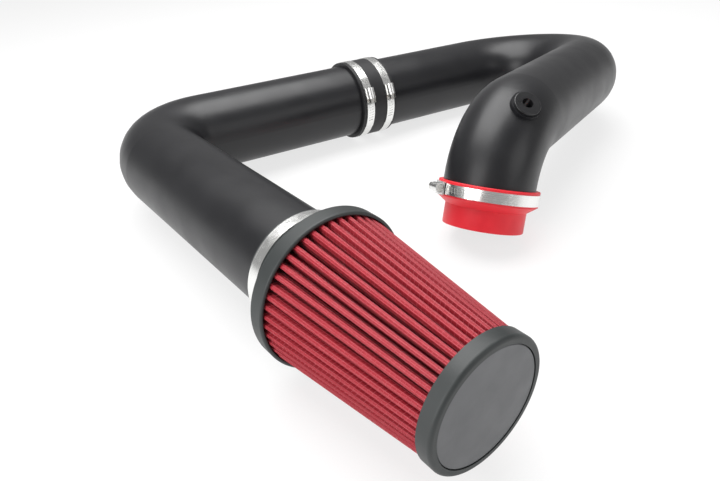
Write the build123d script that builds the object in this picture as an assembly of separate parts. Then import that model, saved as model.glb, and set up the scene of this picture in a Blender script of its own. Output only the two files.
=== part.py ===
"""Car air intake: cone filter, moulded pipes, their coupler, the outlet reducer and five clamps."""
from build123d import *
import math
import os

# Pipe section and the room that sleeves and bands have on what they grip
pipe_od = 101.6
pipe_wall = 3.0
pipe_gap = 6.0
sleeve_fit = 0.05

# Route of the pipe's centre line, from the coupler both ways
front_long_run = 250.0
front_bend_radius = 72.0
front_bend_angle = 97.0
filter_run = 320.0
rear_long_run = 203.0
return_bend_radius = 103.0
return_bend_angle = 154.5
return_bend_lift = 9.5
return_run = 237.0
outlet_bend_radius = 79.0
outlet_bend_angle = 71.5
outlet_bend_turn = 85.0
outlet_stub = 12.0
outlet_tail = 7.0

# How the whole lies on a flat floor: lean about X, then about Y
rest_lean_x = -0.99
rest_lean_y = 1.78

# Filter base: neck, flange and the rim round the pleats
neck_wall = 4.5
neck_length = 35.0
flange_radius = 73.0
flange_height = 16.0
flange_plate = 5.0
flange_round = 2.0

# Filter end cap and the plate set in its face
filter_length = 183.5
cap_radius = 54.0
cap_height = 13.0
cap_plate = 5.0
cap_round = 3.0
plate_radius = 47.6
plate_thickness = 2.0
plate_recess = 2.5
plate_room = 0.4
plate_round = 0.8

# Pleated media: one folded sheet between the base and the cap
pleat_count = 48
pleat_depth = 14.0
pleat_sheet = 1.3
ridge_half_width = 1.6
ridge_crown = 0.8
rim_room = 0.3
base_rim_wall = 2.6
cap_rim_wall = 2.2

# Wire cage inside the pleats, as a punched cone
cage_wall = 0.8
cage_room = 0.3
cage_columns = 16
cage_rows = 5
cage_bar = 5.0

# Coupler between the two pipes
coupler_wall = 5.0
coupler_length = 55.0
coupler_clamp_spacing = 34.0

# Outlet reducer
reducer_wall = 5.0
reducer_cuff_above = 9.0
reducer_cuff_below = 8.0
reducer_cone = 8.0
reducer_length_below = 39.0
outlet_bore = 80.0
reducer_round = 1.2

# Sensor port on the outlet bend
port_angle = 27.0
port_clock = 147.0
port_boss_radius = 17.0
port_boss_height = 2.5
port_hole_radius = 11.0
grommet_flange_radius = 15.0
grommet_flange_height = 3.0
grommet_lip_radius = 12.5
grommet_lip_height = 3.0
grommet_bore_radius = 6.0
grommet_round = 1.0

# Worm-drive clamp
band_width = 12.0
band_thickness = 0.8
band_tail_angle = 52.0
slot_length = 7.0
slot_width = 1.6
slot_pitch = 4.0
slot_count = 8
slot_first_angle = 11.0
slot_lean = 8.0
housing_length = 15.0
housing_wall = 1.0
housing_skirt = 1.0
worm_radius = 4.2
worm_room = 0.2
worm_lift = 0.4
worm_end_room = 1.0
head_across_flats = 8.0
head_length = 5.5
head_collar_radius = 4.6
head_collar_length = 1.0
head_slot_width = 1.2
head_slot_depth = 2.0
filter_clamp_spacing = 17.0
filter_clamp_inset = 9.5

# Where each clamp's housing points, round its pipe
filter_clamp_clock = 320.0
coupler_clamp_clock = -24.0
outlet_clamp_clock = -140.0

pipe_radius = pipe_od / 2
bore_radius = pipe_radius - pipe_wall
neck_radius = pipe_radius + neck_wall
coupler_radius = pipe_radius + coupler_wall
cuff_radius = pipe_radius + reducer_wall
outlet_radius = outlet_bore / 2 + reducer_wall


def ahead(frame, length):
    """Frame further along its own direction of travel."""
    return frame * Pos(0, 0, length)


def turned(frame, angle):
    """Frame rolled about its direction of travel."""
    return frame * Rot(0, 0, angle)


def bent(frame, radius, angle):
    """Frame at the end of a bend towards its own X."""
    return frame * Pos(radius, 0, 0) * Rot(0, angle, 0) * Pos(-radius, 0, 0)


def ring(outer, inner):
    return Circle(outer) - Circle(inner)


def tube(outer, inner, start, length):
    """Round tube along Z."""
    return Pos(0, 0, start) * extrude(ring(outer, inner), length)


def rod(radius, start, length):
    """Round rod along Z."""
    return Pos(0, 0, start) * extrude(Circle(radius), length)


def straight_pipe(frame, length):
    return frame * extrude(ring(pipe_radius, bore_radius), length)


def bend_pipe(frame, radius, angle):
    axis = Axis((radius, 0, 0), (0, 1, 0))
    return frame * revolve(ring(pipe_radius, bore_radius), axis, angle)


def turned_profile(points):
    """Solid of revolution about Z from a closed outline of radius and height."""
    outline = Plane.XZ * make_face(Polyline(*points, close=True))
    return revolve(outline, Axis.Z)


def circles_of(solid, radius, height):
    """Round edges about Z with a given radius and height."""
    def fits(edge):
        centre = edge.arc_center
        return (abs(edge.radius - radius) < 0.01 and abs(centre.Z - height) < 0.01
                and math.hypot(centre.X, centre.Y) < 0.01)
    return solid.edges().filter_by(GeomType.CIRCLE).filter_by(fits)


# Frames along the route: Z is the way of travel, X the inside of the next bend
rear_start = Plane(origin=(0, 0, 0), x_dir=(0, -1, 0), z_dir=(1, 0, 0)).location
front_start = Plane(origin=(0, 0, 0), x_dir=(0, -1, 0), z_dir=(-1, 0, 0)).location

front_bend = ahead(front_start, front_long_run)
filter_leg = bent(front_bend, front_bend_radius, front_bend_angle)
filter_seat = ahead(filter_leg, filter_run)

return_bend = turned(ahead(rear_start, rear_long_run), -return_bend_lift)
return_leg = bent(return_bend, return_bend_radius, return_bend_angle)
outlet_bend = turned(ahead(return_leg, return_run), outlet_bend_turn)
outlet_leg = bent(outlet_bend, outlet_bend_radius, outlet_bend_angle)
outlet_seat = ahead(outlet_leg, outlet_stub)

# Port frame: Z points out of the pipe's wall
port_on_route = bent(outlet_bend, outlet_bend_radius, port_angle)
port_frame = turned(port_on_route, port_clock) * Rot(0, 90, 0)
port_face = pipe_radius + port_boss_height


def intake_tube_front():
    """Pipe from the filter neck round the first bend into the coupler."""
    run = front_long_run - pipe_gap / 2
    pipe = straight_pipe(ahead(front_start, pipe_gap / 2), run)
    pipe += bend_pipe(front_bend, front_bend_radius, front_bend_angle)
    return pipe + straight_pipe(filter_leg, filter_run)


def intake_tube_rear():
    """Pipe from the coupler round the return bend."""
    pipe = straight_pipe(ahead(rear_start, pipe_gap / 2), rear_long_run - pipe_gap / 2)
    return pipe + bend_pipe(return_bend, return_bend_radius, return_bend_angle)


def intake_tube_outlet():
    """Pipe welded to the return bend's end, down to the outlet, with the port's boss."""
    pipe = straight_pipe(return_leg, return_run)
    elbow = bend_pipe(outlet_bend, outlet_bend_radius, outlet_bend_angle)
    bore_axis = Axis((outlet_bend_radius, 0, 0), (0, 1, 0))
    bore = outlet_bend * revolve(Circle(bore_radius), bore_axis, outlet_bend_angle)
    boss = port_frame * extrude(Circle(port_boss_radius), port_face)
    hole = port_frame * extrude(Circle(port_hole_radius), 2 * pipe_radius)
    pipe += elbow + (boss - bore) - hole
    return pipe + straight_pipe(outlet_leg, outlet_stub + outlet_tail)


def sensor_grommet():
    """Rubber grommet: flange on the boss, neck through the wall, lip inside the bore."""
    flange_top = port_face + grommet_flange_height
    lip_end = bore_radius - grommet_lip_height
    body_radius = port_hole_radius - sleeve_fit
    body = tube(body_radius, grommet_bore_radius, lip_end, flange_top - lip_end)
    flange = tube(grommet_flange_radius, grommet_bore_radius, port_face, grommet_flange_height)
    flange = fillet(circles_of(flange, grommet_flange_radius, flange_top), grommet_round)
    lip = tube(grommet_lip_radius, grommet_bore_radius, lip_end, pipe_radius - lip_end)
    bore_axis = Axis((outlet_bend_radius, 0, 0), (0, 1, 0))
    bore = outlet_bend * revolve(Circle(bore_radius - sleeve_fit), bore_axis, outlet_bend_angle)
    return port_frame * (body + flange) + ((port_frame * lip) & bore)


def ridge_radius(height):
    """Outer radius of the pleats at a height above the flange's back."""
    base = flange_radius - base_rim_wall - rim_room
    cap = cap_radius - cap_rim_wall - rim_room
    share = (height - flange_plate) / (filter_length - cap_height - flange_plate)
    return base + (cap - base) * share


def pleat_face(height):
    """Section of the folded sheet: its outside outline less its inside outline."""
    outside = []
    inside = []
    crown = ridge_radius(height)
    root = crown - pleat_depth
    half_pitch = 180 / pleat_count

    def spot(radius, offset, angle):
        return Vector(radius, offset, 0).rotate(Axis.Z, angle)

    inner_half_width = ridge_half_width - pleat_sheet
    for index in range(pleat_count):
        ridge = 2 * half_pitch * index
        fold = ridge + half_pitch
        following = ridge + 2 * half_pitch
        a = spot(crown - ridge_crown, -ridge_half_width, ridge)
        b = spot(crown - ridge_crown, ridge_half_width, ridge)
        c = spot(root + pleat_sheet, -inner_half_width, fold)
        d = spot(root + pleat_sheet, inner_half_width, fold)
        e = spot(crown - ridge_crown, -ridge_half_width, following)
        outside += [ThreePointArc(a, spot(crown, 0, ridge), b), Line(b, c), Line(c, d), Line(d, e)]
        a = spot(crown - pleat_sheet, -inner_half_width, ridge)
        b = spot(crown - pleat_sheet, inner_half_width, ridge)
        c = spot(root + ridge_crown, -ridge_half_width, fold)
        d = spot(root + ridge_crown, ridge_half_width, fold)
        e = spot(crown - pleat_sheet, -inner_half_width, following)
        inside += [Line(a, b), Line(b, c), ThreePointArc(c, spot(root, 0, fold), d), Line(d, e)]
    outline = Face(Wire(outside), [Wire(inside)])
    return Pos(0, 0, height) * outline


def filter_media():
    """Pleated gauze, one folded sheet that tapers from the base to the cap."""
    sections = [pleat_face(flange_plate), pleat_face(filter_length - cap_plate)]
    return filter_seat * loft(sections, ruled=True)


def filter_base():
    """Rubber base: neck over the pipe, flange plate and the rim round the pleats."""
    rim = ridge_radius(flange_plate) + rim_room
    points = [(pipe_radius + sleeve_fit, -neck_length), (neck_radius, -neck_length), (neck_radius, 0),
              (flange_radius, 0), (flange_radius, flange_height), (rim, flange_height),
              (rim, flange_plate), (bore_radius, flange_plate), (bore_radius, 0),
              (pipe_radius + sleeve_fit, 0)]
    base = turned_profile(points)
    corners = circles_of(base, flange_radius, 0) + circles_of(base, flange_radius, flange_height)
    return filter_seat * fillet(corners, flange_round)


def filter_end_cap():
    """Rubber cap: closes the cone, grips the pleats with a rim and holds the face plate."""
    inner_face = filter_length - cap_plate
    rim = ridge_radius(filter_length - cap_height) + rim_room
    floor = filter_length - plate_recess
    recess = plate_radius + plate_room
    points = [(0, inner_face), (rim, inner_face), (rim, filter_length - cap_height),
              (cap_radius, filter_length - cap_height), (cap_radius, filter_length),
              (recess, filter_length), (recess, floor), (0, floor)]
    cap = turned_profile(points)
    return filter_seat * fillet(circles_of(cap, cap_radius, filter_length), cap_round)


def end_cap_plate():
    """Round plate set in the cap's face."""
    floor = filter_length - plate_recess
    plate = Pos(0, 0, floor) * extrude(Circle(plate_radius), plate_thickness)
    return filter_seat * fillet(circles_of(plate, plate_radius, floor + plate_thickness), plate_round)


def filter_inner_cage():
    """Punched steel cone that holds the pleats open."""
    low = flange_plate
    high = filter_length - cap_plate
    low_radius = ridge_radius(low) - pleat_depth - cage_room
    high_radius = ridge_radius(high) - pleat_depth - cage_room
    cone = turned_profile([(low_radius - cage_wall, low), (low_radius, low),
                           (high_radius, high), (high_radius - cage_wall, high)])
    pitch = (high - low) / cage_rows
    width = 2 * math.pi * high_radius / cage_columns - cage_bar
    window = extrude(Plane.YZ * Rectangle(width, pitch - cage_bar), low_radius)
    windows = []
    for row in range(cage_rows):
        height = low + pitch * (row + 0.5)
        for column in range(cage_columns):
            windows.append(Rot(0, 0, 360 * column / cage_columns) * Pos(0, 0, height) * window)
    return filter_seat * (cone - windows)


def mid_coupler():
    """Rubber sleeve over the ends of the two pipes."""
    sleeve = tube(coupler_radius, pipe_radius + sleeve_fit, -coupler_length / 2, coupler_length)
    return rear_start * sleeve


def outlet_reducer():
    """Silicone reducer: a cuff on the pipe, a short cone and the cuff for the throttle body."""
    cone_start = reducer_cuff_below
    cone_end = cone_start + reducer_cone
    cuff_bore = pipe_radius + sleeve_fit
    points = [(cuff_bore, -reducer_cuff_above), (cuff_radius, -reducer_cuff_above),
              (cuff_radius, cone_start), (outlet_radius, cone_end),
              (outlet_radius, reducer_length_below), (outlet_bore / 2, reducer_length_below),
              (outlet_bore / 2, cone_end), (cuff_bore, cone_start)]
    sleeve = turned_profile(points)
    corners = circles_of(sleeve, outlet_radius, reducer_length_below)
    corners += circles_of(sleeve, cuff_radius, -reducer_cuff_above)
    return outlet_seat * fillet(corners, reducer_round)


def band_arc(inner, outer, angle):
    """Strip of band round Z, from +X through an angle."""
    section = Plane.XZ * Pos((inner + outer) / 2, 0) * Rectangle(outer - inner, band_width)
    return revolve(section, Axis.Z, angle)


def clamp_band(grip_radius):
    """Steel band with its slotted tail lapped over it past the housing."""
    inner = grip_radius + sleeve_fit
    lap = inner + band_thickness
    outer = lap + band_thickness
    band = tube(lap, inner, -band_width / 2, band_width) + band_arc(lap, outer, band_tail_angle)
    step = math.degrees(slot_pitch / lap)
    slot = Rot(slot_lean, 0, 0) * Box(band_thickness, slot_width, slot_length)
    slots = []
    for index in range(slot_count):
        angle = slot_first_angle + step * index
        slots.append(Rot(0, 0, angle) * Pos(lap + band_thickness / 2, 0, 0) * slot)
        slots.append(Rot(0, 0, -angle) * Pos(lap - band_thickness / 2, 0, 0) * slot)
    return band - slots


def worm_height(grip_radius):
    """Distance of the worm's axis from the pipe's axis."""
    return grip_radius + sleeve_fit + 2 * band_thickness + worm_lift + worm_radius


def clamp_housing(grip_radius):
    """Folded saddle on the band with the barrel for the worm."""
    saddle_base = grip_radius + sleeve_fit + 2 * band_thickness
    axis_height = worm_height(grip_radius)
    bore = worm_radius + worm_room
    along = Plane.XZ.offset(-housing_length / 2)
    skirt_width = band_width + 2 * sleeve_fit + 2 * housing_skirt
    saddle_top = axis_height - worm_radius / 2
    saddle_depth = saddle_top - grip_radius
    saddle = Pos(saddle_top - saddle_depth / 2, 0) * Rectangle(saddle_depth, skirt_width)
    barrel = Pos(axis_height, 0) * Circle(bore + housing_wall)
    body = extrude(along * (saddle + barrel), housing_length)
    body -= extrude(along * (Pos(axis_height, 0) * Circle(bore)), housing_length)
    body -= rod(saddle_base + sleeve_fit, -band_width / 2 - sleeve_fit, band_width + 2 * sleeve_fit)
    return body - rod(grip_radius + sleeve_fit, -skirt_width, 2 * skirt_width)


def clamp_screw(grip_radius):
    """Worm screw with a slotted hexagon head."""
    axis_height = worm_height(grip_radius)
    worm_length = housing_length - worm_end_room
    collar_start = housing_length / 2
    head_start = collar_start + head_collar_length
    head_end = head_start + head_length
    screw = Pos(0, 0, collar_start - worm_length) * extrude(Circle(worm_radius), worm_length)
    screw += Pos(0, 0, collar_start) * extrude(Circle(head_collar_radius), head_collar_length)
    hexagon = RegularPolygon(head_across_flats / 2, 6, major_radius=False)
    screw += Pos(0, 0, head_start) * extrude(hexagon, head_length)
    slot = Box(2 * head_across_flats, head_slot_width, 2 * head_slot_depth)
    screw -= Pos(0, 0, head_end) * slot
    return Pos(axis_height, 0, 0) * Rot(-90, 0, 0) * screw


def clamp(name, frame, grip_radius):
    """The three pieces of one clamp, housing towards the frame's X."""
    return {f"{name}_band": frame * clamp_band(grip_radius),
            f"{name}_housing": frame * clamp_housing(grip_radius),
            f"{name}_screw": frame * clamp_screw(grip_radius)}


def clamps():
    """Five clamps: two on the filter neck, two on the coupler, one on the outlet."""
    near_flange = turned(ahead(filter_seat, -filter_clamp_inset), filter_clamp_clock)
    far_from_flange = ahead(near_flange, -filter_clamp_spacing)
    half = coupler_clamp_spacing / 2
    coupler_front = turned(ahead(rear_start, -half), coupler_clamp_clock)
    coupler_rear = turned(ahead(rear_start, half), coupler_clamp_clock)
    outlet = turned(outlet_seat, outlet_clamp_clock)
    pieces = {}
    pieces.update(clamp("filter_clamp_front", near_flange, neck_radius))
    pieces.update(clamp("filter_clamp_rear", far_from_flange, neck_radius))
    pieces.update(clamp("coupler_clamp_front", coupler_front, coupler_radius))
    pieces.update(clamp("coupler_clamp_rear", coupler_rear, coupler_radius))
    pieces.update(clamp("outlet_clamp", outlet, cuff_radius))
    return pieces


def assembly():
    """Every piece by its name, on the route's own axes."""
    makers = [filter_end_cap, end_cap_plate, filter_media, filter_inner_cage, filter_base,
              intake_tube_front, mid_coupler, intake_tube_rear, intake_tube_outlet, sensor_grommet,
              outlet_reducer]
    pieces = {maker.__name__: maker() for maker in makers}
    pieces.update(clamps())
    return pieces


def laid_down(pieces):
    """The pieces lying on the floor at z = 0, centred on the origin."""
    lean = Rot(rest_lean_x, 0, 0) * Rot(0, rest_lean_y, 0)
    leaning = {name: lean * piece for name, piece in pieces.items()}
    box = Compound([solid for piece in leaning.values() for solid in piece.solids()]).bounding_box()
    centre = box.center()
    to_floor = Pos(-centre.X, -centre.Y, -box.min.Z)
    return {name: to_floor * piece for name, piece in leaning.items()}


os.makedirs("parts", exist_ok=True)
for name, piece in laid_down(assembly()).items():
    export_step(piece, f"parts/{name}.step")
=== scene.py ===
"""Looks of the car air intake: moulded pipes, pleated cone filter, coupler, reducer and clamps."""
import math

import bmesh
import bpy
from bpy.props import FloatProperty, FloatVectorProperty, IntProperty, PointerProperty
from mathutils import Matrix, Vector


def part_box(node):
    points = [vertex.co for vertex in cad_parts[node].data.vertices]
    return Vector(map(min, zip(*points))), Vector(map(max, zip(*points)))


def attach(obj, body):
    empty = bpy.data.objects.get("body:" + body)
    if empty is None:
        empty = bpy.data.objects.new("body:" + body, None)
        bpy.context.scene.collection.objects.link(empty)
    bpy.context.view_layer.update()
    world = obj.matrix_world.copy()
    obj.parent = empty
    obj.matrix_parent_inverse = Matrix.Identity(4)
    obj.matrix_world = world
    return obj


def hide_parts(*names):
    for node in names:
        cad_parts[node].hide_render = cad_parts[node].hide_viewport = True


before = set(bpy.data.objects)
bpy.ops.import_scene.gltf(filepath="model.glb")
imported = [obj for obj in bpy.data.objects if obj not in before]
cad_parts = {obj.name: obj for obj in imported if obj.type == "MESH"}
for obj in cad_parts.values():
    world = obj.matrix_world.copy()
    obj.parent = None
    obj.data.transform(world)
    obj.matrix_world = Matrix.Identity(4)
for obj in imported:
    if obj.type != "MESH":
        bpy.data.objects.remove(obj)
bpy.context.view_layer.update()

bl_info = {
    "name": "Car air intake",
    "version": (1, 0, 0),
    "blender": (4, 5, 0),
    "location": "3D View > Sidebar > Intake",
    "description": "Dresses the car air intake and sets up its studio",
    "category": "Object",
}

MM = 0.001
BODY = "root"
CLAMPS = ("filter_clamp_front", "filter_clamp_rear", "coupler_clamp_front", "coupler_clamp_rear",
          "outlet_clamp")


def linear(hex_colour):
    """Linear RGBA of an sRGB hex colour."""
    channels = [int(hex_colour[i:i + 2], 16) / 255 for i in (1, 3, 5)]
    return [c / 12.92 if c <= 0.04045 else ((c + 0.055) / 1.055) ** 2.4 for c in channels] + [1.0]


def length(name, millimetres, description):
    return FloatProperty(name=name, description=description, default=millimetres * MM, unit="LENGTH")


def turn(name, degrees, description):
    return FloatProperty(name=name, description=description, default=math.radians(degrees),
                         subtype="ANGLE", unit="ROTATION")


def colour(name, hex_colour, description):
    return FloatVectorProperty(name=name, description=description, default=linear(hex_colour),
                               size=4, min=0, max=1, subtype="COLOR")


class IntakeRoute(bpy.types.PropertyGroup):
    """Route of the pipe's centre line, from the coupler both ways."""
    lean_x: turn("Lean about X", -0.99, "How the part leans as it lies on the floor")
    lean_y: turn("Lean about Y", 1.78, "How the part leans as it lies on the floor")
    front_long_run: length("Front long run", 250, "Coupler to the front bend")
    front_bend_radius: length("Front bend radius", 72, "Bend of the front pipe")
    front_bend_angle: turn("Front bend angle", 97, "Bend of the front pipe")
    filter_run: length("Filter run", 320, "Front bend to the filter's flange")
    rear_long_run: length("Rear long run", 203, "Coupler to the return bend")
    return_bend_radius: length("Return bend radius", 103, "Return bend of the rear pipe")
    return_bend_angle: turn("Return bend angle", 154.5, "Return bend of the rear pipe")
    return_bend_lift: turn("Return bend lift", 9.5, "How far the return bend rises out of the floor's plane")
    return_run: length("Return run", 237, "Return bend to the outlet bend")
    outlet_bend_radius: length("Outlet bend radius", 79, "Bend down to the outlet")
    outlet_bend_angle: turn("Outlet bend angle", 71.5, "Bend down to the outlet")
    outlet_bend_turn: turn("Outlet bend turn", 85, "Which way the outlet bend points")
    outlet_stub: length("Outlet stub", 12, "Outlet bend to the outlet clamp")


class FilterSizes(bpy.types.PropertyGroup):
    """Folds of the gauze and the wire mesh that holds them."""
    folds: IntProperty(name="Folds", description="Folds round the cone", default=48, min=3)
    fold_depth: length("Fold depth", 14, "Ridge to groove")
    ridge_at_base: length("Ridge radius at the base", 70.1, "Outside of the folds at the flange")
    ridge_at_cap: length("Ridge radius at the cap", 50.6, "Outside of the folds at the cap")
    ridge_round: length("Ridge rounding", 2, "Radius of a fold's ridge")
    ridge_half_width: length("Ridge half width", 1.6, "Half the width of a fold's ridge")
    groove_half_width: length("Groove half width", 0.3, "Half the width of a fold's groove")
    sheet: length("Sheet", 1.1, "Thickness of the layers of gauze")
    low_end: length("Low end", 5, "Where the folds start, from the flange's back")
    high_end: length("High end", 178.5, "Where the folds end, from the flange's back")
    sway: length("Sway", 0.7, "How far hand-set folds stray sideways at mid length")
    wire_pitch: length("Wire pitch", 4.3, "Spacing of the cross wires along the cone")
    wire_radius: length("Wire radius", 0.3, "Radius of the mesh's wires")


class IntakeColours(bpy.types.PropertyGroup):
    """Colours of the finishes."""
    plastic: colour("Pipe plastic", "#101013", "Black moulded plastic")
    plastic_worn: colour("Pipe plastic, paler", "#18181b", "Paler clouds in the plastic")
    filter_rubber: colour("Filter rubber", "#232727", "Base and cap of the filter")
    coupler_rubber: colour("Coupler rubber", "#111113", "Sleeve between the pipes")
    grommet_rubber: colour("Grommet rubber", "#121214", "Grommet of the sensor port")
    silicone: colour("Silicone", "#e8323d", "Outlet reducer")
    silicone_deep: colour("Silicone, deeper", "#d8222e", "Deeper streaks in the silicone")
    gauze: colour("Gauze", "#a91d2d", "Oiled cotton on the ridges")
    # Painted shade: a deep red that stands for the shade in the grooves between the folds
    gauze_groove_shade: colour("Gauze in the grooves", "#4e0009", "Painted shade deep in the grooves")
    wire: colour("Mesh wire", "#bf4a56", "Coated wire over the gauze")
    cap_plate: colour("Cap plate", "#5f6062", "Plate in the cap's face")
    steel: colour("Stainless steel", "#f0f0ee", "Bands and housings")
    screw: colour("Plated screw", "#dcdbd6", "Worm screws")
    cage: colour("Cage steel", "#a9abab", "Punched cone inside the folds")


class StudioSettings(bpy.types.PropertyGroup):
    """Camera, lamps and floor."""
    camera_place: FloatVectorProperty(name="Camera place", description="Where the camera stands",
                                      default=(-0.46245, -0.52093, 0.39804), unit="LENGTH")
    camera_turn: FloatVectorProperty(name="Camera turn", description="Which way the camera looks",
                                     default=[math.radians(a) for a in (57.615, 2.518, -31.77)],
                                     subtype="EULER")
    lens: FloatProperty(name="Lens", description="Focal length in millimetres", default=31.4)
    shift: FloatProperty(name="Shift", description="Rise of the picture, as a share of its width",
                         default=-0.014)
    sensor: FloatProperty(name="Sensor", description="Sensor width in millimetres", default=36)
    ambient: FloatProperty(name="Ambient", description="Light from all round", default=0.34)
    key_power: FloatProperty(name="Key power", description="Softbox overhead", default=30, unit="POWER")
    fill_power: FloatProperty(name="Fill power", description="Softbox at the front", default=3,
                              unit="POWER")
    side_power: FloatProperty(name="Side power", description="Softbox at the left", default=9,
                              unit="POWER")
    floor_glow: FloatProperty(name="Floor glow", description="Share of plain white in the floor's look",
                              default=0.75, min=0, max=1)
    floor_size: FloatProperty(name="Floor size", description="Side of the floor", default=30,
                              unit="LENGTH")


# Places along the route


def ahead(place, distance):
    """Place further along its own way of travel."""
    return place @ Matrix.Translation((0, 0, distance))


def rolled(place, angle):
    """Place rolled about its way of travel."""
    return place @ Matrix.Rotation(angle, 4, "Z")


def bent(place, radius, angle):
    """Place at the end of a bend towards its own X."""
    hinge = Matrix.Translation((radius, 0, 0))
    return place @ hinge @ Matrix.Rotation(angle, 4, "Y") @ hinge.inverted()


def coupler_place(route):
    """Middle of the coupler, with the lean of the whole part."""
    low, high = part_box("mid_coupler")
    lean = Matrix.Rotation(route.lean_x, 4, "X") @ Matrix.Rotation(route.lean_y, 4, "Y")
    return Matrix.Translation((low + high) / 2) @ lean


def rear_place(route):
    """Start of the rear pipe: Z along it, X to the inside of the return bend."""
    return coupler_place(route) @ Matrix(((0, 0, 1, 0), (-1, 0, 0, 0), (0, -1, 0, 0), (0, 0, 0, 1)))


def filter_place(route):
    """Back of the filter's flange, Z out along the cone."""
    front = coupler_place(route) @ Matrix(((0, 0, -1, 0), (-1, 0, 0, 0), (0, 1, 0, 0), (0, 0, 0, 1)))
    leg = bent(ahead(front, route.front_long_run), route.front_bend_radius, route.front_bend_angle)
    return ahead(leg, route.filter_run)


def outlet_place(route):
    """Outlet clamp's middle, Z down the outlet."""
    bend = rolled(ahead(rear_place(route), route.rear_long_run), -route.return_bend_lift)
    leg = bent(bend, route.return_bend_radius, route.return_bend_angle)
    drop = rolled(ahead(leg, route.return_run), route.outlet_bend_turn)
    return ahead(bent(drop, route.outlet_bend_radius, route.outlet_bend_angle), route.outlet_stub)


# Nodes and finishes


def node(tree, kind, inputs=None, **settings):
    """One shader node: settings are its own values, inputs its sockets' values or links."""
    made = tree.nodes.new(kind)
    for name, value in settings.items():
        setattr(made, name, value)
    for socket, value in (inputs or {}).items():
        if isinstance(value, bpy.types.NodeSocket):
            tree.links.new(value, made.inputs[socket])
        else:
            made.inputs[socket].default_value = value
    return made


def finish(name):
    """An empty material and its tree."""
    made = bpy.data.materials.new(name)
    made.use_nodes = True
    made.node_tree.nodes.clear()
    return made, made.node_tree


def per(millimetres):
    """Texture scale that gives a pattern this size."""
    return 1 / (millimetres * MM)


def moulded_plastic(colours):
    """Black moulded polypropylene: a fine spark-eroded grain that spreads highlights into soft bands."""
    made, tree = finish("moulded_black_polypropylene")
    spot = node(tree, "ShaderNodeTexCoord").outputs["Object"]
    cloud = node(tree, "ShaderNodeTexNoise", {"Vector": spot, "Scale": per(45), "Detail": 3})
    # The real grain is about 0.3 mm and would not show, so it is drawn at 1.8 mm
    grain = node(tree, "ShaderNodeTexNoise", {"Vector": spot, "Scale": per(1.8), "Detail": 4,
                                            "Roughness": 0.65})
    shade = node(tree, "ShaderNodeMix", {0: cloud.outputs[0], 6: colours.plastic, 7: colours.plastic_worn},
                 data_type="RGBA")
    gloss = node(tree, "ShaderNodeMapRange", {"Value": cloud.outputs[0], "From Min": 0.3, "From Max": 0.7,
                                              "To Min": 0.32, "To Max": 0.42})
    relief = node(tree, "ShaderNodeBump", {"Height": grain.outputs[0], "Strength": 0.25,
                                           "Distance": 0.25 * MM})
    shader = node(tree, "ShaderNodeBsdfPrincipled", {
        "Base Color": shade.outputs[2], "Roughness": gloss.outputs[0], "IOR": 1.49,
        "Normal": relief.outputs[0]})
    node(tree, "ShaderNodeOutputMaterial", {"Surface": shader.outputs[0]})
    return made


def moulded_rubber(name, shade, paler, grain_size, roughness):
    """Moulded rubber: matt, with a faint bloom that greys it in patches."""
    made, tree = finish(name)
    spot = node(tree, "ShaderNodeTexCoord").outputs["Object"]
    bloom = node(tree, "ShaderNodeTexNoise", {"Vector": spot, "Scale": per(22), "Detail": 5,
                                            "Roughness": 0.6})
    grain = node(tree, "ShaderNodeTexNoise", {"Vector": spot, "Scale": per(grain_size), "Detail": 3})
    mixed = node(tree, "ShaderNodeMix", {0: bloom.outputs[0], 6: shade, 7: paler}, data_type="RGBA")
    gloss = node(tree, "ShaderNodeMapRange", {"Value": bloom.outputs[0], "From Min": 0.3, "From Max": 0.7,
                                              "To Min": roughness - 0.06, "To Max": roughness + 0.06})
    relief = node(tree, "ShaderNodeBump", {"Height": grain.outputs[0], "Strength": 0.3, "Distance": 0.2 * MM})
    shader = node(tree, "ShaderNodeBsdfPrincipled", {
        "Base Color": mixed.outputs[2], "Roughness": gloss.outputs[0], "IOR": 1.52,
        "Normal": relief.outputs[0]})
    node(tree, "ShaderNodeOutputMaterial", {"Surface": shader.outputs[0]})
    return made


def wrapped_silicone(colours, axis):
    """Red silicone hose, cured under a wound tape: satin, with faint rings left by the tape."""
    made, tree = finish("wrapped_red_silicone")
    spot = node(tree, "ShaderNodeTexCoord").outputs["Object"]
    along = node(tree, "ShaderNodeVectorMath", {0: spot, 1: axis}, operation="DOT_PRODUCT")
    streak = node(tree, "ShaderNodeTexNoise", {"Vector": spot, "Scale": per(14), "Detail": 4})
    rings = node(tree, "ShaderNodeTexNoise", {"W": along.outputs["Value"], "Scale": per(2.2), "Detail": 2},
                 noise_dimensions="1D")
    mixed = node(tree, "ShaderNodeMix", {0: streak.outputs[0], 6: colours.silicone, 7: colours.silicone_deep},
                 data_type="RGBA")
    relief = node(tree, "ShaderNodeBump", {"Height": rings.outputs[0], "Strength": 0.35,
                                           "Distance": 0.25 * MM})
    shader = node(tree, "ShaderNodeBsdfPrincipled", {
        "Base Color": mixed.outputs[2], "Roughness": 0.42, "IOR": 1.41, "Subsurface Weight": 0.08,
        "Subsurface Scale": 1.5 * MM, "Normal": relief.outputs[0]})
    node(tree, "ShaderNodeOutputMaterial", {"Surface": shader.outputs[0]})
    return made


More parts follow.
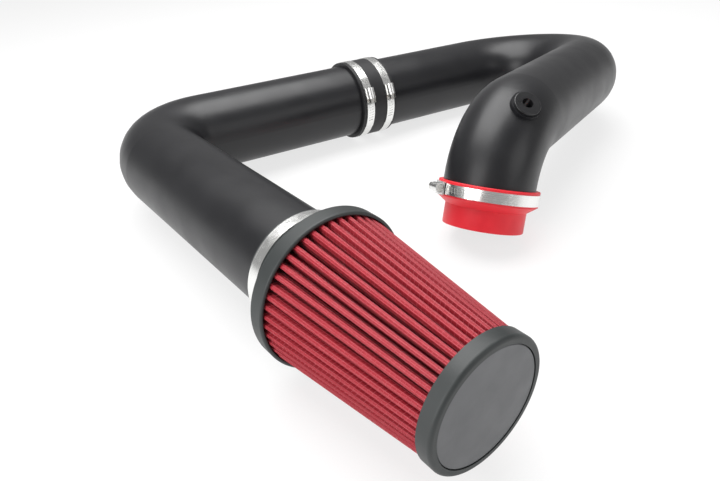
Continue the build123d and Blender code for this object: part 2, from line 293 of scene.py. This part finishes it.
def oiled_gauze(colours):
    """Oiled cotton gauze with a napped sheen: its own red on the ridges, darkened by painted shade towards
    the grooves, blotched at random.
    """
    made, tree = finish("oiled_cotton_gauze")
    spot = node(tree, "ShaderNodeTexCoord").outputs["Object"]
    rise = node(tree, "ShaderNodeAttribute", attribute_name="fold_rise")
    soak = node(tree, "ShaderNodeTexNoise", {"Vector": spot, "Scale": per(9), "Detail": 4})
    # Threads are about 0.5 mm apart and are drawn at 1.2 mm so that they show
    weave = node(tree, "ShaderNodeTexVoronoi", {"Vector": spot, "Scale": per(1.2)})
    blot = node(tree, "ShaderNodeMapRange", {"Value": soak.outputs[0], "To Min": -0.12, "To Max": 0.12})
    # Painted shade: fold_rise turns the gauze from its own red on the ridges to a deep red in the grooves,
    # where the folds shade each other; random blots shift the edge
    level = node(tree, "ShaderNodeMath", {0: rise.outputs["Fac"], 1: blot.outputs[0]}, operation="ADD",
                 use_clamp=True)
    mixed = node(tree, "ShaderNodeMix", {0: level.outputs[0], 6: colours.gauze_groove_shade, 7: colours.gauze},
                 data_type="RGBA")
    relief = node(tree, "ShaderNodeBump", {"Height": weave.outputs["Distance"], "Strength": 0.5,
                                           "Distance": 0.3 * MM})
    shader = node(tree, "ShaderNodeBsdfPrincipled", {
        "Base Color": mixed.outputs[2], "Roughness": 0.55, "IOR": 1.46, "Sheen Weight": 0.2,
        "Sheen Roughness": 0.4, "Normal": relief.outputs[0]})
    node(tree, "ShaderNodeOutputMaterial", {"Surface": shader.outputs[0]})
    return made


def coated_wire(colours):
    """Aluminium wire with a red epoxy coat: small bright glints on a pink-red thread."""
    made, tree = finish("red_coated_aluminium_wire")
    spot = node(tree, "ShaderNodeTexCoord").outputs["Object"]
    worn = node(tree, "ShaderNodeTexNoise", {"Vector": spot, "Scale": per(5), "Detail": 3})
    mixed = node(tree, "ShaderNodeMix", {0: worn.outputs[0], 6: colours.wire, 7: colours.gauze},
                 data_type="RGBA")
    shader = node(tree, "ShaderNodeBsdfPrincipled", {
        "Base Color": mixed.outputs[2], "Roughness": 0.35, "IOR": 1.5})
    node(tree, "ShaderNodeOutputMaterial", {"Surface": shader.outputs[0]})
    return made


def drawn_stainless(name, shade, axis, roughness):
    """Cold-rolled stainless strip: bright, with fine rolling lines that run round the band."""
    made, tree = finish(name)
    spot = node(tree, "ShaderNodeTexCoord").outputs["Object"]
    along = node(tree, "ShaderNodeVectorMath", {0: spot, 1: axis}, operation="DOT_PRODUCT")
    # Rolling lines are a few hundredths of a millimetre apart and are drawn at 0.7 mm
    lines = node(tree, "ShaderNodeTexNoise", {"W": along.outputs["Value"], "Scale": per(0.7), "Detail": 3},
                 noise_dimensions="1D")
    smear = node(tree, "ShaderNodeTexNoise", {"Vector": spot, "Scale": per(7), "Detail": 4})
    blend = node(tree, "ShaderNodeMath", {0: lines.outputs[0], 1: smear.outputs[0]}, operation="ADD")
    gloss = node(tree, "ShaderNodeMapRange", {"Value": blend.outputs[0], "From Min": 0.6, "From Max": 1.4,
                                              "To Min": roughness - 0.07, "To Max": roughness + 0.1})
    relief = node(tree, "ShaderNodeBump", {"Height": lines.outputs[0], "Strength": 0.2,
                                           "Distance": 0.06 * MM})
    shader = node(tree, "ShaderNodeBsdfPrincipled", {
        "Base Color": shade, "Metallic": 1.0, "Roughness": gloss.outputs[0], "Normal": relief.outputs[0]})
    node(tree, "ShaderNodeOutputMaterial", {"Surface": shader.outputs[0]})
    return made


def plated_steel(name, shade, spangle, roughness):
    """Zinc-plated steel: dull bright, with small crystals that catch the light in turn."""
    made, tree = finish(name)
    spot = node(tree, "ShaderNodeTexCoord").outputs["Object"]
    crystal = node(tree, "ShaderNodeTexVoronoi", {"Vector": spot, "Scale": per(spangle)})
    gloss = node(tree, "ShaderNodeMapRange", {"Value": crystal.outputs["Color"], "To Min": roughness - 0.08,
                                              "To Max": roughness + 0.12})
    shader = node(tree, "ShaderNodeBsdfPrincipled", {
        "Base Color": shade, "Metallic": 1.0, "Roughness": gloss.outputs[0]})
    node(tree, "ShaderNodeOutputMaterial", {"Surface": shader.outputs[0]})
    return made


def turned_plate(colours):
    """Grey lacquered plate: satin, with faint rings from turning that fan the light out."""
    made, tree = finish("grey_lacquered_plate")
    low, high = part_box("end_cap_plate")
    spot = node(tree, "ShaderNodeTexCoord").outputs["Object"]
    reach = node(tree, "ShaderNodeVectorMath", {0: spot, 1: (low + high) / 2}, operation="DISTANCE")
    rings = node(tree, "ShaderNodeTexNoise", {"W": reach.outputs["Value"], "Scale": per(1.1), "Detail": 2},
                 noise_dimensions="1D")
    cloud = node(tree, "ShaderNodeTexNoise", {"Vector": spot, "Scale": per(18), "Detail": 4})
    gloss = node(tree, "ShaderNodeMapRange", {"Value": cloud.outputs[0], "From Min": 0.3, "From Max": 0.7,
                                              "To Min": 0.36, "To Max": 0.5})
    relief = node(tree, "ShaderNodeBump", {"Height": rings.outputs[0], "Strength": 0.15,
                                           "Distance": 0.1 * MM})
    shader = node(tree, "ShaderNodeBsdfPrincipled", {
        "Base Color": colours.cap_plate, "Metallic": 0.3, "Roughness": gloss.outputs[0],
        "Normal": relief.outputs[0]})
    node(tree, "ShaderNodeOutputMaterial", {"Surface": shader.outputs[0]})
    return made


def dress(material, *names):
    """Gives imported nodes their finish."""
    for name in names:
        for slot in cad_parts[name].material_slots:
            slot.material = material


def piece(name, bm, material, slot, *replaced):
    """A finished piece from a bmesh, riding on the part's one body."""
    mesh = bpy.data.meshes.new(name)
    bm.to_mesh(mesh)
    bm.free()
    return placed(name, mesh, material, slot, *replaced)


def placed(name, mesh, material, slot, *replaced):
    """A piece from a finished mesh, with its finish and body; its slot is not used."""
    mesh.materials.clear()
    mesh.materials.append(material)
    for face in mesh.polygons:
        face.use_smooth = True
    made = bpy.data.objects.new(name, mesh)
    bpy.context.scene.collection.objects.link(made)
    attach(made, BODY)
    if replaced:
        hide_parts(*replaced)
    return made


# Folded gauze and its mesh


def half_fold(bm, sizes, ridge_steps, flank_cuts, stand_off):
    """Half a fold's outline at the base: ridge arc, flank and groove, as a chain of edges."""
    crest = sizes.ridge_at_base + stand_off
    sweep = math.asin(sizes.ridge_half_width / sizes.ridge_round)
    groove_radius = sizes.ridge_at_base - sizes.fold_depth + sizes.sheet + stand_off
    groove_turn = Matrix.Rotation(math.pi / sizes.folds, 3, "Z")
    points = []
    for step in range(ridge_steps + 1):
        angle = sweep * step / ridge_steps
        drop = sizes.ridge_round * (1 - math.cos(angle))
        points.append(Vector((crest - drop, sizes.ridge_round * math.sin(angle), 0)))
    points.append(groove_turn @ Vector((groove_radius, -sizes.groove_half_width, 0)))
    points.append(groove_turn @ Vector((groove_radius, 0, 0)))
    chain = [bm.verts.new(point) for point in points]
    edges = [bm.edges.new(pair) for pair in zip(chain, chain[1:])]
    if flank_cuts:
        bmesh.ops.subdivide_edges(bm, edges=[edges[ridge_steps]], cuts=flank_cuts)


def lengthwise(edge):
    """True for an edge that runs from the base towards the cap."""
    first, second = edge.verts
    return abs(first.co.z - second.co.z) > 0.1 * MM


def folded_skin(sizes, ridge_steps, flank_cuts, rows, stand_off=0.0):
    """The folded sheet as a thin skin: half a fold drawn out to the cap, mirrored and spun round."""
    bm = bmesh.new()
    half_fold(bm, sizes, ridge_steps, flank_cuts, stand_off)
    taper = sizes.ridge_at_base - sizes.ridge_at_cap
    rise = sizes.high_end - sizes.low_end
    drawn = bmesh.ops.extrude_edge_only(bm, edges=bm.edges[:])["geom"]
    ends = [part for part in drawn if isinstance(part, bmesh.types.BMVert)]
    half_pitch = math.pi / sizes.folds
    for vert in ends:
        share = (sizes.ridge_at_base + stand_off - vert.co.x) / sizes.fold_depth
        angle = half_pitch * max(0.0, min(1.0, share))
        shift = Vector((-taper * math.cos(angle), -taper * math.sin(angle), rise))
        bmesh.ops.translate(bm, verts=[vert], vec=shift)
    bmesh.ops.subdivide_edges(bm, edges=[e for e in bm.edges if lengthwise(e)], cuts=rows - 1)
    everything = bm.verts[:] + bm.edges[:] + bm.faces[:]
    bmesh.ops.mirror(bm, geom=everything, matrix=Matrix.Identity(4), merge_dist=0.001 * MM, axis="Y")
    bmesh.ops.spin(bm, geom=bm.verts[:] + bm.edges[:] + bm.faces[:], cent=(0, 0, 0), axis=(0, 0, 1),
                   dvec=(0, 0, 0), angle=2 * math.pi * (sizes.folds - 1) / sizes.folds,
                   steps=sizes.folds - 1, use_duplicate=True)
    bmesh.ops.remove_doubles(bm, verts=bm.verts[:], dist=0.005 * MM)
    bmesh.ops.recalc_face_normals(bm, faces=bm.faces[:])
    sway_folds(bm, sizes, rise)
    return bm


def sway_folds(bm, sizes, rise):
    """Lets each fold stray a little sideways between its two ends."""
    for vert in bm.verts:
        angle = math.atan2(vert.co.y, vert.co.x)
        stray = 0.6 * math.sin(9 * angle + 1) + 0.4 * math.sin(23 * angle + 2)
        bow = math.sin(math.pi * vert.co.z / rise)
        shift = sizes.sway * stray * bow / sizes.ridge_at_base
        vert.co = Matrix.Rotation(shift, 3, "Z") @ vert.co


def set_in_filter(bm, sizes, place):
    """Moves folds from their own base plane to their seat on the filter."""
    seat = place @ Matrix.Translation((0, 0, sizes.low_end))
    bmesh.ops.transform(bm, matrix=seat, verts=bm.verts[:])


def mark_fold_rise(bm, sizes):
    """Stores how far each point stands between groove and ridge."""
    layer = bm.verts.layers.float.new("fold_rise")
    rise = sizes.high_end - sizes.low_end
    for vert in bm.verts:
        share = vert.co.z / rise
        ridge = sizes.ridge_at_base + (sizes.ridge_at_cap - sizes.ridge_at_base) * share
        radius = math.hypot(vert.co.x, vert.co.y)
        vert[layer] = max(0.0, min(1.0, 1 - (ridge - radius) / sizes.fold_depth))


def wires_from(name, bm, radius):
    """Mesh of round wires along a bmesh's chains of edges."""
    mesh = bpy.data.meshes.new(name)
    bm.to_mesh(mesh)
    bm.free()
    lines = bpy.data.objects.new(name, mesh)
    bpy.context.scene.collection.objects.link(lines)
    bpy.ops.object.select_all(action="DESELECT")
    bpy.context.view_layer.objects.active = lines
    lines.select_set(True)
    bpy.ops.object.convert(target="CURVE")
    lines = bpy.context.view_layer.objects.active
    lines.data.bevel_depth = radius
    lines.data.bevel_resolution = 0
    lines.data.use_fill_caps = True
    graph = bpy.context.evaluated_depsgraph_get()
    wires = bpy.data.meshes.new_from_object(lines.evaluated_get(graph))
    bpy.data.objects.remove(lines)
    return wires


class INTAKE_OT_pipes(bpy.types.Operator):
    """Gives the pipes, the coupler and the grommet their finishes"""
    bl_idname = "intake.pipes"
    bl_label = "Dress pipes"

    def execute(self, context):
        colours = context.scene.intake_colours
        dress(moulded_plastic(colours), "intake_tube_front", "intake_tube_rear", "intake_tube_outlet")
        dress(moulded_rubber("coupler_epdm_rubber", colours.coupler_rubber, linear("#1a1a1c"), 1.4, 0.55),
              "mid_coupler")
        dress(moulded_rubber("grommet_nitrile_rubber", colours.grommet_rubber, linear("#1c1c1e"), 1.0, 0.3),
              "sensor_grommet")
        return {"FINISHED"}


class INTAKE_OT_outlet(bpy.types.Operator):
    """Gives the outlet reducer its finish"""
    bl_idname = "intake.outlet"
    bl_label = "Dress outlet"

    def execute(self, context):
        axis = outlet_place(context.scene.intake_route).to_3x3().col[2]
        dress(wrapped_silicone(context.scene.intake_colours, axis), "outlet_reducer")
        return {"FINISHED"}


class INTAKE_OT_filter_body(bpy.types.Operator):
    """Gives the filter's base, cap, plate and cage their finishes"""
    bl_idname = "intake.filter_body"
    bl_label = "Dress filter body"

    def execute(self, context):
        colours = context.scene.intake_colours
        dress(moulded_rubber("filter_polyurethane_rubber", colours.filter_rubber, linear("#2d3131"),
                             1.6, 0.5), "filter_base", "filter_end_cap")
        dress(turned_plate(colours), "end_cap_plate")
        dress(plated_steel("galvanised_cage_steel", colours.cage, 6, 0.4), "filter_inner_cage")
        return {"FINISHED"}


class INTAKE_OT_folds(bpy.types.Operator):
    """Folds the gauze round the cone"""
    bl_idname = "intake.folds"
    bl_label = "Fold gauze"

    def execute(self, context):
        sizes = context.scene.intake_filter
        bm = folded_skin(sizes, ridge_steps=4, flank_cuts=2, rows=14)
        mark_fold_rise(bm, sizes)
        set_in_filter(bm, sizes, filter_place(context.scene.intake_route))
        gauze = piece("folded_gauze", bm, oiled_gauze(context.scene.intake_colours), "red_gauze",
                      "filter_media")
        wall = gauze.modifiers.new("sheet", "SOLIDIFY")
        wall.thickness = sizes.sheet
        wall.offset = -1
        return {"FINISHED"}


class INTAKE_OT_mesh(bpy.types.Operator):
    """Lays the wire mesh over the folds"""
    bl_idname = "intake.mesh"
    bl_label = "Lay wire mesh"

    def execute(self, context):
        sizes = context.scene.intake_filter
        place = filter_place(context.scene.intake_route)
        coat = coated_wire(context.scene.intake_colours)
        rows = round((sizes.high_end - sizes.low_end) / sizes.wire_pitch)
        rings = folded_skin(sizes, ridge_steps=2, flank_cuts=0, rows=rows, stand_off=sizes.wire_radius)
        bmesh.ops.delete(rings, geom=rings.faces[:], context="FACES_ONLY")
        bmesh.ops.delete(rings, geom=[e for e in rings.edges if lengthwise(e)], context="EDGES")
        set_in_filter(rings, sizes, place)
        placed("mesh_cross_wires", wires_from("cross_lines", rings, sizes.wire_radius), coat, "red_gauze")
        runs = folded_skin(sizes, ridge_steps=1, flank_cuts=2, rows=8, stand_off=sizes.wire_radius)
        bmesh.ops.delete(runs, geom=runs.faces[:], context="FACES_ONLY")
        bmesh.ops.delete(runs, geom=[e for e in runs.edges if not lengthwise(e)], context="EDGES")
        set_in_filter(runs, sizes, place)
        placed("mesh_long_wires", wires_from("long_lines", runs, sizes.wire_radius), coat, "red_gauze")
        return {"FINISHED"}


class INTAKE_OT_clamps(bpy.types.Operator):
    """Gives the clamps' bands, housings and screws their finishes"""
    bl_idname = "intake.clamps"
    bl_label = "Dress clamps"

    def execute(self, context):
        route = context.scene.intake_route
        colours = context.scene.intake_colours
        places = {"filter": filter_place(route), "coupler": rear_place(route), "outlet": outlet_place(route)}
        screw = plated_steel("zinc_plated_screw_steel", colours.screw, 1.5, 0.3)
        for spot, place in places.items():
            axis = place.to_3x3().col[2]
            band = drawn_stainless(f"{spot}_band_stainless", colours.steel, axis, 0.22)
            housing = drawn_stainless(f"{spot}_housing_stainless", colours.steel, axis, 0.28)
            for clamp in CLAMPS:
                if clamp.startswith(spot):
                    dress(band, f"{clamp}_band")
                    dress(housing, f"{clamp}_housing")
                    dress(screw, f"{clamp}_screw")
        return {"FINISHED"}


def studio_floor(settings):
    """White paper sweep: plain white to the eye, and still takes the part's shadow."""
    made, tree = finish("white_paper_floor")
    spot = node(tree, "ShaderNodeTexCoord").outputs["Object"]
    fibre = node(tree, "ShaderNodeTexNoise", {"Vector": spot, "Scale": per(3), "Detail": 2})
    tone = node(tree, "ShaderNodeMix", {0: fibre.outputs[0], 6: linear("#f4f4f4"), 7: linear("#fbfbfb")},
                data_type="RGBA")
    paper = node(tree, "ShaderNodeBsdfDiffuse", {"Color": tone.outputs[2]})
    glow = node(tree, "ShaderNodeEmission", {"Color": linear("#ffffff"), "Strength": 1.0})
    path = node(tree, "ShaderNodeLightPath")
    seen = node(tree, "ShaderNodeMath", {0: path.outputs["Is Camera Ray"], 1: path.outputs["Is Glossy Ray"]},
                operation="MAXIMUM")
    seen = node(tree, "ShaderNodeMath", {0: seen.outputs[0], 1: path.outputs["Is Transmission Ray"]},
                operation="MAXIMUM")
    share = node(tree, "ShaderNodeMath", {0: seen.outputs[0], 1: settings.floor_glow}, operation="MULTIPLY")
    mixed = node(tree, "ShaderNodeMixShader", {0: share.outputs[0], 1: paper.outputs[0], 2: glow.outputs[0]})
    node(tree, "ShaderNodeOutputMaterial", {"Surface": mixed.outputs[0]})
    return made


def studio_world(scene, settings):
    """White all round to the eye and through clear parts, a weaker light on the part and in its reflections.
    """
    world = bpy.data.worlds.new("white_studio")
    world.use_nodes = True
    tree = world.node_tree
    tree.nodes.clear()
    path = node(tree, "ShaderNodeLightPath")
    seen = node(tree, "ShaderNodeMath", {0: path.outputs["Is Camera Ray"],
                                         1: path.outputs["Is Transmission Ray"]}, operation="MAXIMUM")
    dim = node(tree, "ShaderNodeBackground", {"Color": linear("#ffffff"), "Strength": settings.ambient})
    white = node(tree, "ShaderNodeBackground", {"Color": linear("#ffffff"), "Strength": 1.0})
    mixed = node(tree, "ShaderNodeMixShader", {0: seen.outputs[0], 1: dim.outputs[0], 2: white.outputs[0]})
    node(tree, "ShaderNodeOutputWorld", {"Surface": mixed.outputs[0]})
    scene.world = world


def softbox(name, power, width, depth, place, aim):
    """A large flat lamp that points at a spot on the part."""
    lamp = bpy.data.lights.new(name, "AREA")
    lamp.shape = "RECTANGLE"
    lamp.size = width
    lamp.size_y = depth
    lamp.energy = power
    made = bpy.data.objects.new(name, lamp)
    made.location = place
    made.rotation_euler = (Vector(aim) - Vector(place)).to_track_quat("-Z", "Y").to_euler()
    bpy.context.scene.collection.objects.link(made)
    return made


class INTAKE_OT_stage(bpy.types.Operator):
    """Sets up the floor, the lamps and the camera"""
    bl_idname = "intake.stage"
    bl_label = "Set stage"

    def execute(self, context):
        scene = context.scene
        settings = scene.intake_studio
        bm = bmesh.new()
        bmesh.ops.create_grid(bm, x_segments=1, y_segments=1, size=settings.floor_size / 2)
        mesh = bpy.data.meshes.new("studio_floor")
        bm.to_mesh(mesh)
        bm.free()
        mesh.materials.append(studio_floor(settings))
        floor = bpy.data.objects.new("studio_floor", mesh)
        scene.collection.objects.link(floor)
        studio_world(scene, settings)
        softbox("overhead_softbox", settings.key_power, 1.6, 1.2, (-0.1, 0.35, 1.3), (-0.05, 0.0, 0.05))
        softbox("front_softbox", settings.fill_power, 1.0, 0.8, (0.5, -1.3, 0.7), (-0.05, 0.0, 0.05))
        softbox("left_softbox", settings.side_power, 0.8, 1.0, (-1.3, -0.3, 0.5), (-0.25, 0.0, 0.05))
        eye = bpy.data.cameras.new("photo_camera")
        eye.lens = settings.lens
        eye.shift_y = settings.shift
        eye.sensor_width = settings.sensor
        camera = bpy.data.objects.new("photo_camera", eye)
        camera.location = settings.camera_place
        camera.rotation_euler = settings.camera_turn
        scene.collection.objects.link(camera)
        scene.camera = camera
        scene.view_settings.view_transform = "Standard"
        return {"FINISHED"}


OPERATORS = (INTAKE_OT_stage, INTAKE_OT_pipes, INTAKE_OT_outlet, INTAKE_OT_filter_body, INTAKE_OT_folds,
             INTAKE_OT_mesh, INTAKE_OT_clamps)
SETTINGS = {"intake_route": IntakeRoute, "intake_filter": FilterSizes, "intake_colours": IntakeColours,
            "intake_studio": StudioSettings}


class INTAKE_PT_panel(bpy.types.Panel):
    """Lists the steps that dress the intake, and their sizes and colours"""
    bl_idname = "INTAKE_PT_panel"
    bl_label = "Car air intake"
    bl_space_type = "VIEW_3D"
    bl_region_type = "UI"
    bl_category = "Intake"

    def draw(self, context):
        for operator in OPERATORS:
            self.layout.operator(operator.bl_idname)
        for name, group in SETTINGS.items():
            box = self.layout.box()
            for field in group.__annotations__:
                box.prop(getattr(context.scene, name), field)


def register():
    for made in (*SETTINGS.values(), *OPERATORS, INTAKE_PT_panel):
        bpy.utils.register_class(made)
    for name, group in SETTINGS.items():
        setattr(bpy.types.Scene, name, PointerProperty(type=group))


def unregister():
    for name in SETTINGS:
        delattr(bpy.types.Scene, name)
    for made in reversed((*SETTINGS.values(), *OPERATORS, INTAKE_PT_panel)):
        bpy.utils.unregister_class(made)


def main():
    register()
    bpy.ops.intake.stage()
    bpy.ops.intake.pipes()
    bpy.ops.intake.outlet()
    bpy.ops.intake.filter_body()
    bpy.ops.intake.folds()
    bpy.ops.intake.mesh()
    bpy.ops.intake.clamps()


if __name__ == "__main__":
    main()
